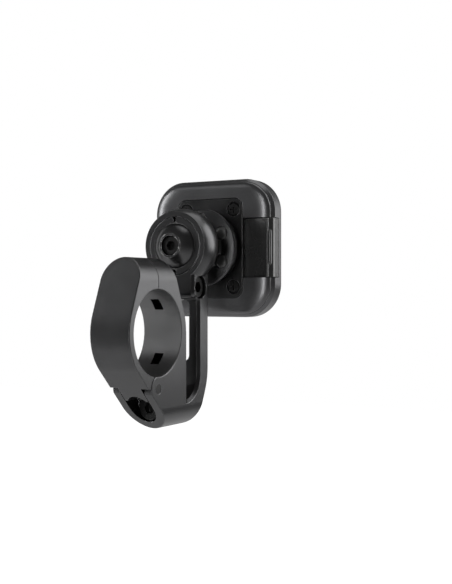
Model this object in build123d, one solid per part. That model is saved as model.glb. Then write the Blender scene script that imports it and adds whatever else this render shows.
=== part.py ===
"""Hinged handlebar phone mount with a ball joint and a sprung, quick-release phone head.

Frame: X runs along the handlebar, Y from the clamp towards the phone head, Z up.
The origin is on the handlebar's axis, at the middle of the clamp's width. Millimetres.
"""
from build123d import *
from math import acos, atan2, cos, hypot, radians, sin, tan
import os

# ---- Driving dimensions ---------------------------------------------------------------
# Handlebar clamp
BAR_RADIUS = 16.0
CLAMP_WIDTH = 17.1
JAW_OUTER_RADIUS = 18.95
BODY_OUTER_RADIUS = 19.5
CLAMP_TOP_Z = 27.7
CLAMP_TOP_HALF_DEPTH = 9.4
CLAMP_BOTTOM_Z = -36.5
LOWER_FACE_SUM = -26.8          # the sloping lower face is the plane Y + Z = LOWER_FACE_SUM
SPLIT_GAP = 0.24                # between the two halves at the top
EDGE_BREAK = 0.25
KEY_ANGLE = 40.5                # of each sleeve pocket above and below the middle of the bore
KEY_WIDTH = 3.8
KEY_LENGTH = 5.2
KEY_DEPTH = 3.4
JAW_KEY_DEPTH = 1.8

# Hinge and clamp screw
HINGE_Z = -20.5
PIN_RADIUS = 1.85
PIN_CLEARANCE = 0.04
BODY_KNUCKLE_RADIUS = 4.8
JAW_CUT_RADIUS = 5.15
TAIL_KNUCKLE_RADIUS = 4.35
TAIL_POCKET_RADIUS = 4.75
TAIL_HALF_WIDTH = 5.0
TAIL_SLOT_HALF_WIDTH = 5.4
JAW_SHOULDER_Z = -20.1
TAIL_END_Z = -24.9
TAIL_LIP_Y = 6.6
TAIL_LIP_THICKNESS = 1.7
TAIL_SWEEP_RADIUS = 8.35
TAIL_SWEEP_TOP = 35.0           # degrees above +Y that the lip's pocket reaches
SCREW_Z = -28.5
SCREW_HEAD_RADIUS = 4.75
SCREW_HEAD_LENGTH = 3.0
SCREW_POCKET_RADIUS = 5.3
SCREW_FACE_Y = 6.7
SCREW_STROKE = 4.95
SCREW_END_Y = 17.6
INSERT_RADIUS = 3.1
INSERT_START_Y = 15.0
INSERT_END_Y = 19.0
M5_RADIUS = 2.5
M5_HEX = 4.0

# Arm and ball socket
SLOT_NEAR_Y = 19.6
ARM_INNER_Y = 28.9
ARM_BACK_Y = 35.7
SLOT_CENTRE_Z = -17.2           # the slot's floor is a quarter round below this height
HEEL_RADIUS = 22.0
HEEL_START_Z = -14.5
HEEL_LEAN = 24.0                # degrees from upright that the heel curves in to
HEEL_ROUND = 3.0
ARM_CHAMFER = 1.1
WINDOW_HALF_WIDTH = 4.05
WINDOW_HALF_HEIGHT = 12.25
WINDOW_CORNER = 2.7
NECK_Y = 24.6
NECK_BOTTOM_Z = 12.9
NECK_FILLET = 1.8
SOCKET_Z = 33.0
SOCKET_FACE_RADIUS = 13.5
SOCKET_RADIUS = 14.8
SOCKET_BACK_RADIUS = 13.3
COLLET_RADIUS = 11.55
COLLET_GAP = 0.08
COLLET_EDGE = 0.2
COLLET_SLIT = 1.2
PINCH_Y = 30.1
PINCH_Z = 16.9
PINCH_HEAD_RADIUS = 4.25
PINCH_HEAD_X = 3.5
PINCH_HEAD_LENGTH = 3.9
PINCH_RECESS_RADIUS = 4.45
CONE_RADIUS = 3.4
CONE_TIP_RADIUS = 2.7
CONE_TIP_X = 0.6
NUT_END_X = -8.0
SHOE_HALF_WIDTH = 3.2
SHOE_HALF_DEPTH = 3.6
SHOE_GAP = 0.05

# Ball
BALL_Y = 29.9
BALL_RADIUS = 10.0
BALL_FLAT = 8.8
LINER_INNER_RADIUS = 10.05
LINER_OUTER_RADIUS = 10.45
SEAT_RADIUS = 10.5
STEM_RADIUS = 4.2
STEM_START_Y = 38.2

# Vibration isolator
DISH_CENTRE_Y = 43.4
DISH_CENTRE_RADIUS = 9.3
DISH_RIM_Y = 45.2
DISH_RADIUS = 15.7
DISH_BACK_Y = 46.8
PLUG_COUNT = 6
PLUG_PITCH_RADIUS = 11.15
PLUG_RADIUS = 2.8
PLUG_FRONT_Y = 43.9
CORE_FRONT_Y = 49.4
CORE_BACK_Y = 52.0
CORE_RADIUS = 14.0
HEAD_FLOAT = 0.6

# Phone head
PLATE_Y = 52.1
PLATE_BACK_Y = 53.9
PLATE_WIDTH = 31.1
PLATE_HEIGHT = 40.9
PLATE_CORNER = 4.3
PLATE_SCREW_X = 11.15
PLATE_SCREW_Z = 15.8
PLATE_SCREW_RADIUS = 2.6
REAR_HALF = 27.0
REAR_CORNER = 12.3
CROWN_WIDTH = 6.3
CROWN_DEPTH = 2.1
SEAM_Y = 54.3
SHELL_WALL = 1.8
FRONT_HALF = 28.3
FRONT_CORNER = 13.6
RIM_Y = 55.9
FRONT_Y = 62.7
FRONT_ROUND = 1.6
TAB_HALF_HEIGHT = 11.9
TAB_INNER_X = 14.7
TAB_END_Y = 59.1
TAB_GAP = 0.22
TAB_STROKE = 2.0
LATCH_Y = 56.5
LATCH_THICKNESS = 2.0
LATCH_HALF_HEIGHT = 8.0
LATCH_INNER_X = 9.0
LATCH_SCREW_X = 23.0
HOOK_HALF_HEIGHT = 5.0
HOOK_GAP_X = (15.2, 20.6)       # the hook's slot, from the latch's inner to its outer end
TAB_CORNER = 1.2
LATCH_SCREW_RADIUS = 1.0
PLATFORM_SCREW_RADIUS = 0.9
SHELL_SCREW_RADIUS = 1.25
CORE_SCREW_RADIUS = 1.1
CORE_SCREW_X = 4.6
SPRING_Z = 5.0
SPRING_RADIUS = 1.5
PLATFORM_HALF = 17.0
PLATFORM_CORNER = 6.0
PLATFORM_HEIGHT = 2.2
PLATFORM_SCREW_X = 13.5
PLATFORM_SCREW_Z = 10.5
PAD_HEIGHT = 0.8
MAGNET_COUNT = 8
MAGNET_PITCH_RADIUS = 11.0
MAGNET_RADIUS = 2.5
MAGNET_THICKNESS = 1.4

HALF = CLAMP_WIDTH / 2
PLATFORM_Y = FRONT_Y + PLATFORM_HEIGHT
WINDOW_DEPTH_END = ARM_BACK_Y + 2


# ---- Helpers --------------------------------------------------------------------------
def box(x0, x1, y0, y1, z0, z1):
    centre = ((x0 + x1) / 2, (y0 + y1) / 2, (z0 + z1) / 2)
    return Pos(*centre) * Box(x1 - x0, y1 - y0, z1 - z0)


def x_rod(radius, x0, x1, y, z):
    return Pos((x0 + x1) / 2, y, z) * Rot(0, 90, 0) * Cylinder(radius, x1 - x0)


def y_rod(radius, y0, y1, x=0.0, z=SOCKET_Z):
    return Pos(x, (y0 + y1) / 2, z) * Rot(-90, 0, 0) * Cylinder(radius, y1 - y0)


def polygon(*points):
    return make_face(Polyline(*points, close=True))


def across(sketch, half_width):
    """A profile drawn in Y and Z, thickened equally to both sides of X = 0."""
    return extrude(Plane.YZ * sketch, amount=half_width, both=True)


def turned(points, z=SOCKET_Z):
    """A solid of revolution about a Y axis, from (y, radius) points."""
    outline = [(radius, y) for y, radius in points]
    return Pos(0, 0, z) * revolve(polygon(*outline), Axis.Y)


def hex_hole(depth, across_flats=M5_HEX):
    """A hexagon socket, its mouth at the origin and its depth along +Y."""
    hexagon = RegularPolygon(across_flats / 2, 6, major_radius=False)
    return extrude(Plane.XZ * hexagon, amount=-depth)


def cross_hole(depth, reach=1.45, arm=0.5):
    """A cross recess, its mouth at the origin and its depth along +Y."""
    bars = Rectangle(2 * reach, arm) + Rectangle(arm, 2 * reach)
    return extrude(Plane.XZ * bars, amount=-depth)


def head_plane(y, x=0.0, z=SOCKET_Z):
    """A sketch plane across Y: its x is +X, and it extrudes along +Y."""
    return Plane(origin=(x, y, z), x_dir=(1, 0, 0), z_dir=(0, 1, 0))


def plate(width, height, corner, y0, y1, x=0.0, z=SOCKET_Z):
    """A rounded rectangular plate between two Y planes."""
    return extrude(head_plane(y0, x, z) * RectangleRounded(width, height, corner), amount=y1 - y0)


def square(half, corner, y0, y1):
    return plate(2 * half, 2 * half, corner, y0, y1)


def corner_positions(dx, dz):
    """The four (x, z) corners of a rectangle centred on the head."""
    return [(sx * dx, SOCKET_Z + sz * dz) for sx in (-1, 1) for sz in (-1, 1)]


def ring_positions(count, radius, first_angle):
    """(x, z) positions spread evenly on a circle about the head's axis."""
    angles = [radians(first_angle + 360 * i / count) for i in range(count)]
    return [(radius * cos(a), SOCKET_Z + radius * sin(a)) for a in angles]


def mirrored(solid):
    return mirror(solid, about=Plane.YZ)


def save(name, solids):
    """Write one node: one solid, or several separate ones in a list."""
    shape = Compound(children=list(solids)) if isinstance(solids, list) else solids
    export_step(shape, f"parts/{name}.step")


# ---- Clamp ----------------------------------------------------------------------------
def top_flank(outer_radius, side):
    """The steep flank from the ring to the flat top. side is +1 for +Y, -1 for -Y."""
    reach = hypot(CLAMP_TOP_HALF_DEPTH, CLAMP_TOP_Z)
    tangent = atan2(CLAMP_TOP_Z, CLAMP_TOP_HALF_DEPTH) - acos(outer_radius / reach)
    touch = (side * outer_radius * cos(tangent), outer_radius * sin(tangent))
    return polygon((0, 0), touch, (side * CLAMP_TOP_HALF_DEPTH, CLAMP_TOP_Z), (0, CLAMP_TOP_Z))


def side_of_split(side):
    """Everything on one side of the split, in Y and Z."""
    return Pos(side * (50 + SPLIT_GAP / 2), 0) * Rectangle(100, 200)


def above_lower_face():
    """Everything above the sloping lower face, in Y and Z."""
    return polygon((-30, LOWER_FACE_SUM + 30), (50, LOWER_FACE_SUM - 50), (50, 60), (-30, 60))


def round_top(solid):
    """Round the clamp's top into a half circle, seen along Y."""
    centre = CLAMP_TOP_Z - HALF
    corners = box(-HALF - 1, HALF + 1, -25, 19.7, centre, CLAMP_TOP_Z + 2)
    return solid - (corners - y_rod(HALF, -26, 20, z=centre))


def round_bottom(solid):
    """Round the clamp's bottom into a half circle, seen along Y."""
    centre = CLAMP_BOTTOM_Z + HALF
    corners = box(-HALF - 1, HALF + 1, -25, 40, CLAMP_BOTTOM_Z - 2, centre)
    return solid - (corners - y_rod(HALF, -26, 41, z=centre))


def key_pockets(side, depth):
    """Rectangular pockets in one half of the bore, which key the sleeves for thinner bars."""
    middle = (BAR_RADIUS + depth) / 2
    block = Pos(0, middle, 0) * Box(KEY_WIDTH, BAR_RADIUS + depth, KEY_LENGTH)
    return [Rot(90 - side * 90 + side * sign * KEY_ANGLE, 0, 0) * block for sign in (-1, 1)]


def tail_space():
    """The space in the lug that the jaw's tail and lip sweep as the jaw opens."""
    reach = TAIL_SWEEP_RADIUS
    top = radians(TAIL_SWEEP_TOP)
    sector = polygon((0, 0), (3 * reach * cos(top), 3 * reach * sin(top)), (3 * reach, -3 * reach), (0, -3 * reach))
    swept = (Circle(reach) & sector) + Circle(TAIL_POCKET_RADIUS)
    floor = SCREW_Z - HINGE_Z
    mouth = polygon((-12, 6), (0, 6), (0, floor), (-12, floor))
    mouth += polygon((0, -2), (TAIL_LIP_Y + 1, -2), (TAIL_LIP_Y + 1, floor), (0, floor))
    space = across(Pos(0, HINGE_Z) * (swept + mouth), TAIL_SLOT_HALF_WIDTH)
    head_end = SCREW_FACE_Y + SCREW_HEAD_LENGTH + SCREW_STROKE + 0.25
    return space + y_rod(SCREW_POCKET_RADIUS, -12, head_end, z=SCREW_Z)


def heel_waste():
    """What is milled off behind the bend: a long curve, a leaning face and a round toe."""
    lean = radians(HEEL_LEAN)
    curve_centre_y = ARM_BACK_Y - HEEL_RADIUS
    curve = [
        (curve_centre_y + HEEL_RADIUS * cos(a), HEEL_START_Z - HEEL_RADIUS * sin(a))
        for a in (0, lean / 2, lean)
    ]
    toe_y = curve[2][0] - (curve[2][1] - CLAMP_BOTTOM_Z) * tan(lean)
    sides = Polyline(
        curve[2], (toe_y, CLAMP_BOTTOM_Z), (SLOT_NEAR_Y, CLAMP_BOTTOM_Z), (SLOT_NEAR_Y, HEEL_START_Z), curve[0]
    )
    kept = make_face([ThreePointArc(*curve), sides])
    toe = kept.vertices().sort_by(lambda v: hypot(v.X - toe_y, v.Y - CLAMP_BOTTOM_Z))[0]
    block = polygon(
        (SLOT_NEAR_Y, CLAMP_BOTTOM_Z), (ARM_BACK_Y + 1, CLAMP_BOTTOM_Z), (ARM_BACK_Y + 1, HEEL_START_Z),
        (SLOT_NEAR_Y, HEEL_START_Z),
    )
    return block - fillet(toe, HEEL_ROUND)


def clamp_side():
    """The clamp's fixed half: half ring, hinge lug and the bend that carries the arm."""
    foot_y = LOWER_FACE_SUM - CLAMP_BOTTOM_Z
    touch = (LOWER_FACE_SUM - HINGE_Z) / 2
    lower = polygon(
        (0, HINGE_Z), (touch, HINGE_Z + touch), (foot_y, CLAMP_BOTTOM_Z),
        (ARM_BACK_Y, CLAMP_BOTTOM_Z), (ARM_BACK_Y, 0), (0, 0),
    )
    ring = Circle(BODY_OUTER_RADIUS) + top_flank(BODY_OUTER_RADIUS, 1)
    ring = (ring & side_of_split(1)) + lower
    ring += (Pos(0, HINGE_Z) * Circle(BODY_KNUCKLE_RADIUS)) & above_lower_face()
    slot_radius = ARM_INNER_Y - SLOT_NEAR_Y
    floor = Pos(SLOT_NEAR_Y, SLOT_CENTRE_Z) * Circle(slot_radius)
    floor &= Pos(SLOT_NEAR_Y + 50, SLOT_CENTRE_Z) * Rectangle(100, 100)
    slot = floor + Pos(SLOT_NEAR_Y + 10, SLOT_CENTRE_Z + 30) * Rectangle(20, 60)
    solid = across(ring - Circle(BAR_RADIUS) - slot - heel_waste(), HALF)
    solid = round_bottom(round_top(solid))
    for side in (-1, 1):
        edge = side * HALF
        bevel = polygon(
            (edge, slot_radius - 0.2), (edge, slot_radius + ARM_CHAMFER), (edge - side * ARM_CHAMFER, slot_radius),
            (edge - side * ARM_CHAMFER, slot_radius - 0.2),
        )
        cone = Pos(0, SLOT_NEAR_Y, SLOT_CENTRE_Z) * revolve(bevel, Axis.X)
        solid -= cone & box(-20, 20, SLOT_NEAR_Y, 40, -40, SLOT_CENTRE_Z)
    return solid


def upright():
    """The arm from the bend up to the socket, with the thick neck under the socket."""
    outline = polygon(
        (ARM_INNER_Y, SLOT_CENTRE_Z), (ARM_BACK_Y, SLOT_CENTRE_Z), (ARM_BACK_Y, SOCKET_Z),
        (NECK_Y, SOCKET_Z), (NECK_Y, NECK_BOTTOM_Z), (ARM_INNER_Y, NECK_BOTTOM_Z),
    )
    ledge = [v for v in outline.vertices() if abs(v.Y - NECK_BOTTOM_Z) < 0.01]
    outline = fillet(ledge, NECK_FILLET)
    solid = across(outline - heel_waste(), HALF)
    inner = [
        e for e in solid.edges()
        if abs(abs(e.center().X) - HALF) < 0.01
        and e.center().Y < ARM_BACK_Y - 1
        and SLOT_CENTRE_Z + 1 < e.center().Z < SOCKET_Z - 1
    ]
    return chamfer(inner, ARM_CHAMFER)


def socket_ring():
    """The barrel-shaped ring round the ball."""
    rounding = ThreePointArc(
        (SOCKET_FACE_RADIUS, NECK_Y), (SOCKET_RADIUS, BALL_Y - 0.4), (SOCKET_BACK_RADIUS, ARM_BACK_Y)
    )
    back = Line((SOCKET_BACK_RADIUS, ARM_BACK_Y), (0, ARM_BACK_Y))
    middle = Line((0, ARM_BACK_Y), (0, NECK_Y))
    front = Line((0, NECK_Y), (SOCKET_FACE_RADIUS, NECK_Y))
    return Pos(0, 0, SOCKET_Z) * revolve(make_face([rounding, back, middle, front]), Axis.Y)


def shoe_space():
    """The cavity in the neck for the pinch cones and the shoe under the collet."""
    half_width = SHOE_HALF_WIDTH + 0.1
    half_depth = SHOE_HALF_DEPTH + 0.1
    top = SOCKET_Z - COLLET_RADIUS + 1
    cavity = box(
        -half_width, half_width, PINCH_Y - half_depth, PINCH_Y + half_depth, PINCH_Z - CONE_RADIUS - 0.1, top
    )
    return cavity + y_rod(COLLET_RADIUS, NECK_Y - 1, ARM_BACK_Y + 1)


def break_edges(solid, *tests):
    """Take the sharpness off chosen edges of the two side faces, one run of edges at a time."""
    for test in tests:
        chosen = []
        for edge in solid.edges():
            extent = edge.bounding_box()
            if extent.size.X < 0.01 and abs(abs(extent.min.X) - HALF) < 0.01 and test(edge, extent):
                chosen.append(edge)
        solid = chamfer(chosen, EDGE_BREAK)
    return solid


def is_line(edge):
    return edge.geom_type == GeomType.LINE


def is_circle(edge, radius):
    return edge.geom_type == GeomType.CIRCLE and abs(edge.radius - radius) < 0.01


def arm_body():
    """The one-piece machined body: clamp half, bend, arm, neck and socket ring."""
    solid = clamp_side() + upright() + socket_ring()
    window = plate(
        2 * WINDOW_HALF_WIDTH, 2 * WINDOW_HALF_HEIGHT, WINDOW_CORNER, NECK_Y - 1, WINDOW_DEPTH_END, z=0.0
    )
    solid = solid - window - shoe_space() - tail_space()
    for pocket in key_pockets(1, KEY_DEPTH):
        solid -= pocket
    solid -= x_rod(PIN_RADIUS, -HALF - 1, HALF + 1, 0, HINGE_Z)
    solid -= y_rod(INSERT_RADIUS, SCREW_FACE_Y, INSERT_END_Y, z=SCREW_Z)
    solid -= y_rod(M5_RADIUS + 0.25, SCREW_FACE_Y, SCREW_END_Y + SCREW_STROKE + 0.4, z=SCREW_Z)
    solid -= x_rod(PINCH_RECESS_RADIUS, PINCH_HEAD_X - 0.1, HALF + 1, PINCH_Y, PINCH_Z)
    solid -= x_rod(CONE_RADIUS, -HALF - 1, PINCH_HEAD_X, PINCH_Y, PINCH_Z)
    return break_edges(
        solid,
        lambda edge, extent: is_circle(edge, BAR_RADIUS),
        lambda edge, extent: is_line(edge) and extent.min.Y > 13 and extent.max.Y < 18 and extent.min.Z > 7,
        lambda edge, extent: is_line(edge) and abs(extent.min.Y - SLOT_NEAR_Y) < 0.02 and extent.size.Z > 10,
        lambda edge, extent: is_line(edge) and extent.size.Y > 3
        and abs(extent.min.Y + extent.max.Z - LOWER_FACE_SUM) < 0.05,
        lambda edge, extent: is_circle(edge, BODY_KNUCKLE_RADIUS),
    )


def clamp_jaw():
    """The hinged half: half ring, sloping lower face, and the tail inside the lug."""
    ring = Circle(JAW_OUTER_RADIUS) + top_flank(JAW_OUTER_RADIUS, -1)
    flank = polygon(
        (0, 0), (LOWER_FACE_SUM / 2, LOWER_FACE_SUM / 2),
        (LOWER_FACE_SUM - TAIL_END_Z, TAIL_END_Z), (0, TAIL_END_Z),
    )
    half = (ring & side_of_split(-1)) + (flank & side_of_split(-1))
    wide = (half - Pos(0, HINGE_Z) * Circle(JAW_CUT_RADIUS) - Circle(BAR_RADIUS))
    wide &= Pos(0, JAW_SHOULDER_Z + 50) * Rectangle(100, 100)
    knuckle = Pos(0, HINGE_Z) * Circle(TAIL_KNUCKLE_RADIUS)
    bridge = half - Circle(BAR_RADIUS + 0.05)
    lip_z = HINGE_Z - 4.7
    lip = polygon(
        (-2, lip_z), (TAIL_LIP_Y, lip_z), (TAIL_LIP_Y, lip_z + TAIL_LIP_THICKNESS),
        (3.5, lip_z + TAIL_LIP_THICKNESS + 0.4), (0, HINGE_Z),
    )
    tail = (knuckle + bridge + lip) & above_lower_face()
    jaw = across(wide, HALF) + across(tail, TAIL_HALF_WIDTH)
    jaw = round_top(jaw)
    jaw -= y_rod(SCREW_POCKET_RADIUS - 0.13, -12, 4.4, z=SCREW_Z)
    jaw -= x_rod(PIN_RADIUS + PIN_CLEARANCE, -9, 9, 0, HINGE_Z)
    for pocket in key_pockets(-1, JAW_KEY_DEPTH):
        jaw -= pocket
    return break_edges(
        jaw,
        lambda edge, extent: is_circle(edge, BAR_RADIUS),
        lambda edge, extent: is_line(edge) and extent.max.Y < -12 and extent.size.Z > 4 and extent.min.Z > 0,
        lambda edge, extent: is_line(edge) and extent.max.Z < -7 and extent.size.Y > 2,
    )


def hinge_pin():
    return x_rod(PIN_RADIUS, -HALF + 0.1, HALF - 0.1, 0, HINGE_Z)


def clamp_screw():
    """Low-headed M5 screw that bears on the lip of the jaw's tail."""
    head = y_rod(SCREW_HEAD_RADIUS, SCREW_FACE_Y, SCREW_FACE_Y + SCREW_HEAD_LENGTH, z=SCREW_Z)
    head = chamfer(head.edges().sort_by(Axis.Y)[0], 0.4)
    shank = y_rod(M5_RADIUS, SCREW_FACE_Y + SCREW_HEAD_LENGTH, SCREW_END_Y, z=SCREW_Z)
    return head + shank - Pos(0, SCREW_FACE_Y, SCREW_Z) * hex_hole(2.6)


def screw_insert():
    """Steel thread sleeve for the clamp screw, pressed into the aluminium body."""
    sleeve = y_rod(INSERT_RADIUS, INSERT_START_Y, INSERT_END_Y, z=SCREW_Z)
    return sleeve - y_rod(M5_RADIUS + 0.04, INSERT_START_Y - 1, INSERT_END_Y + 1, z=SCREW_Z)


# ---- Ball socket ----------------------------------------------------------------------
def collet(side):
    """One half of the split collet that grips the ball's liner."""
    solid = y_rod(COLLET_RADIUS - COLLET_GAP, NECK_Y + 0.05, ARM_BACK_Y)
    solid = chamfer(solid.edges().sort_by(Axis.Y)[0], COLLET_EDGE)
    solid -= Pos(0, BALL_Y, SOCKET_Z) * Sphere(SEAT_RADIUS)
    near, far = sorted((side * COLLET_SLIT / 2, side * 20))
    return solid & box(near, far, 20, 40, SOCKET_Z - 20, SOCKET_Z + 20)


def pinch_cone():
    """Loose conical bush under the pinch screw's head."""
    tip, wide = CONE_TIP_X, PINCH_HEAD_X
    bore = M5_RADIUS + 0.05
    outline = polygon((tip, bore), (tip, CONE_TIP_RADIUS), (wide, CONE_RADIUS), (wide, bore))
    return Pos(0, PINCH_Y, PINCH_Z) * revolve(outline, Axis.X)


def pinch_nut():
    """Conical nut in the arm's -X side, drawn towards the cone by the pinch screw."""
    outline = polygon(
        (-CONE_TIP_X, M5_RADIUS), (-CONE_TIP_X, CONE_TIP_RADIUS), (-PINCH_HEAD_X, CONE_RADIUS),
        (NUT_END_X, CONE_RADIUS), (NUT_END_X, M5_RADIUS),
    )
    return Pos(0, PINCH_Y, PINCH_Z) * revolve(outline, Axis.X)


def collet_shoe():
    """The block under the collet, lifted when the two cones close on it."""
    block = box(
        -SHOE_HALF_WIDTH, SHOE_HALF_WIDTH, PINCH_Y - SHOE_HALF_DEPTH, PINCH_Y + SHOE_HALF_DEPTH,
        PINCH_Z + 1, SOCKET_Z,
    )
    block -= y_rod(COLLET_RADIUS + SHOE_GAP, NECK_Y - 5, ARM_BACK_Y + 5)
    block -= x_rod(CONE_TIP_RADIUS + SHOE_GAP, -9, 9, PINCH_Y, PINCH_Z)
    return block - pinch_cone() - pinch_nut()


def pinch_screw():
    """M5 cap screw through the neck, its head sunk in the +X side."""
    face_x = PINCH_HEAD_X + PINCH_HEAD_LENGTH
    head = x_rod(PINCH_HEAD_RADIUS, PINCH_HEAD_X + 0.05, face_x, PINCH_Y, PINCH_Z)
    head = chamfer(head.edges().sort_by(Axis.X)[-1], 0.35)
    shank = x_rod(M5_RADIUS - 0.04, NUT_END_X + 0.3, PINCH_HEAD_X + 0.05, PINCH_Y, PINCH_Z)
    socket = Pos(face_x, PINCH_Y, PINCH_Z) * Rot(0, 0, 90) * hex_hole(2.6)
    return head + shank - socket


# ---- Ball and isolator ----------------------------------------------------------------
def ball_liner():
    """Polymer liner between the collet and the ball."""
    shell = Pos(0, BALL_Y, SOCKET_Z) * (Sphere(LINER_OUTER_RADIUS) - Sphere(LINER_INNER_RADIUS))
    return shell & y_rod(12, NECK_Y + 0.4, ARM_BACK_Y - 0.4)


def ball():
    """The ball, with a flat and screw recess in front and a flat for the stem behind."""
    solid = Pos(0, BALL_Y, SOCKET_Z) * Sphere(BALL_RADIUS)
    solid &= y_rod(12, BALL_Y - BALL_FLAT, STEM_START_Y)
    solid -= y_rod(M5_RADIUS + 0.06, 15, 45)
    return solid - y_rod(3.95, 15, BALL_Y - BALL_FLAT + 4.0)


def ball_screw():
    """M5 screw through the ball into the dish's stem."""
    face = BALL_Y - BALL_FLAT + 0.9
    seat = BALL_Y - BALL_FLAT + 3.94
    head = y_rod(3.85, face, seat)
    head = chamfer(head.edges().sort_by(Axis.Y)[0], 0.3)
    shank = y_rod(M5_RADIUS, seat, DISH_BACK_Y - 1.5)
    return head + shank - Pos(0, face, SOCKET_Z) * hex_hole(2.4, 3.6)


def isolator_dish():
    """Turned dish on the ball's stem, with a hole for each elastomer plug."""
    gap = 0.06
    points = [
        (STEM_START_Y + gap, 0), (STEM_START_Y + gap, STEM_RADIUS), (DISH_CENTRE_Y - 1.6, STEM_RADIUS),
        (DISH_CENTRE_Y - 0.5, STEM_RADIUS + 0.5), (DISH_CENTRE_Y, STEM_RADIUS + 1.6),
        (DISH_CENTRE_Y, DISH_CENTRE_RADIUS), (DISH_CENTRE_Y + 0.55, DISH_CENTRE_RADIUS + 0.9),
        (DISH_RIM_Y - 0.25, DISH_RADIUS - 0.5), (DISH_RIM_Y + 0.15, DISH_RADIUS),
        (DISH_BACK_Y - 0.4, DISH_RADIUS), (DISH_BACK_Y, DISH_RADIUS - 0.4), (DISH_BACK_Y, 0),
    ]
    solid = turned(points)
    solid -= y_rod(M5_RADIUS, 30, DISH_BACK_Y - 1.5)
    for x, z in ring_positions(PLUG_COUNT, PLUG_PITCH_RADIUS, 30):
        solid -= y_rod(PLUG_RADIUS, 40, 50, x, z)
        solid -= Pos(x, DISH_CENTRE_Y + 0.2, z) * Rot(90, 0, 0) * Cone(PLUG_RADIUS - 0.6, PLUG_RADIUS + 0.9, 1.5)
    return solid


def isolator_plugs():
    """Elastomer plugs between the dish and the core."""
    plugs = []
    for x, z in ring_positions(PLUG_COUNT, PLUG_PITCH_RADIUS, 30):
        plug = y_rod(PLUG_RADIUS, PLUG_FRONT_Y, DISH_BACK_Y, x, z)
        plug += y_rod(PLUG_RADIUS - 0.9, DISH_BACK_Y, CORE_FRONT_Y, x, z)
        plugs.append(chamfer(plug.edges().sort_by(Axis.Y)[0], 0.35))
    return plugs


def isolator_core():
    """Aluminium disc fixed to the back plate, which the plugs are bonded to."""
    disc = y_rod(CORE_RADIUS, CORE_FRONT_Y, CORE_BACK_Y)
    disc = chamfer(disc.edges().sort_by(Axis.Y)[0], 0.5)
    for x, z in corner_positions(CORE_SCREW_X, CORE_SCREW_X):
        disc -= y_rod(CORE_SCREW_RADIUS, 45, 55, x, z)
    return disc


def core_screws():
    """Countersunk screws that hold the core to the back plate."""
    screws = []
    for x, z in corner_positions(CORE_SCREW_X, CORE_SCREW_X):
        screw = y_rod(CORE_SCREW_RADIUS, CORE_FRONT_Y + 0.4, PLATE_BACK_Y + 1.6, x, z)
        screws.append(screw + y_rod(1.9, PLATE_BACK_Y, PLATE_BACK_Y + 1.6, x, z))
    return screws


# ---- Phone head -----------------------------------------------------------------------
def back_plate():
    solid = plate(PLATE_WIDTH, PLATE_HEIGHT, PLATE_CORNER, PLATE_Y, PLATE_BACK_Y)
    rim = solid.faces().sort_by(Axis.Y)[0].outer_wire().edges()
    solid = chamfer(rim, 0.3)
    for x, z in corner_positions(PLATE_SCREW_X, PLATE_SCREW_Z):
        solid -= y_rod(PLATE_SCREW_RADIUS + 0.35, PLATE_Y - 1, PLATE_Y + 1.1, x, z)
        solid -= y_rod(SHELL_SCREW_RADIUS, PLATE_Y, PLATE_BACK_Y + 1, x, z)
    for x, z in corner_positions(CORE_SCREW_X, CORE_SCREW_X):
        solid -= y_rod(CORE_SCREW_RADIUS, 45, 60, x, z)
    return solid


def back_plate_screws():
    """Pan-head screws with a cross recess, from the back plate into the front shell."""
    screws = []
    for x, z in corner_positions(PLATE_SCREW_X, PLATE_SCREW_Z):
        head = y_rod(PLATE_SCREW_RADIUS, PLATE_Y + 0.15, PLATE_Y + 1.1, x, z)
        head = chamfer(head.edges().sort_by(Axis.Y)[0], 0.3)
        shank = y_rod(SHELL_SCREW_RADIUS, PLATE_Y + 1.1, 59.5, x, z)
        screws.append(head + shank - Pos(x, PLATE_Y, z) * cross_hole(0.8))
    return screws


def tab_opening(gap, inner_x, end_y):
    """The cut in both shells that the right-hand release tab moves in."""
    high = TAB_HALF_HEIGHT + gap
    return box(inner_x, 40, 40, end_y + gap, SOCKET_Z - high, SOCKET_Z + high)


def crown_outline(radius):
    """Half a section of the crowned shell, from its middle out to a radius, seen with Y up."""
    curve = EllipticalCenterArc(
        (radius - CROWN_WIDTH, SEAM_Y), CROWN_WIDTH, CROWN_DEPTH, start_angle=270, arc_size=90
    )
    top = Line((0, SEAM_Y - CROWN_DEPTH), (radius - CROWN_WIDTH, SEAM_Y - CROWN_DEPTH))
    back = Polyline((radius, SEAM_Y), (radius, SEAM_Y + 0.6), (0, SEAM_Y + 0.6), (0, SEAM_Y - CROWN_DEPTH))
    return make_face([top, curve, back])


def crowned_square():
    """The rear shell's outside: four straight crowned sides and four turned corners."""
    straight = REAR_HALF - REAR_CORNER
    half = crown_outline(REAR_HALF)
    bar = extrude(half + mirror(half, about=Plane.YZ), amount=straight, both=True)
    solid = bar + Rot(0, 90, 0) * bar
    corner = revolve(crown_outline(REAR_CORNER), Axis.Y)
    for x, z in ((-1, -1), (-1, 1), (1, -1), (1, 1)):
        solid += Pos(x * straight, 0, z * straight) * corner
    return Pos(0, 0, SOCKET_Z) * solid


def hook_slots():
    """The two slots in the shell and the platform that the latches' hooks move in."""
    near_x, far_x = HOOK_GAP_X
    half_height = HOOK_HALF_HEIGHT + 0.3
    slot = box(near_x, far_x, TAB_END_Y - 1.1, PLATFORM_Y + 5, SOCKET_Z - half_height, SOCKET_Z + half_height)
    return slot, mirrored(slot)


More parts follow.
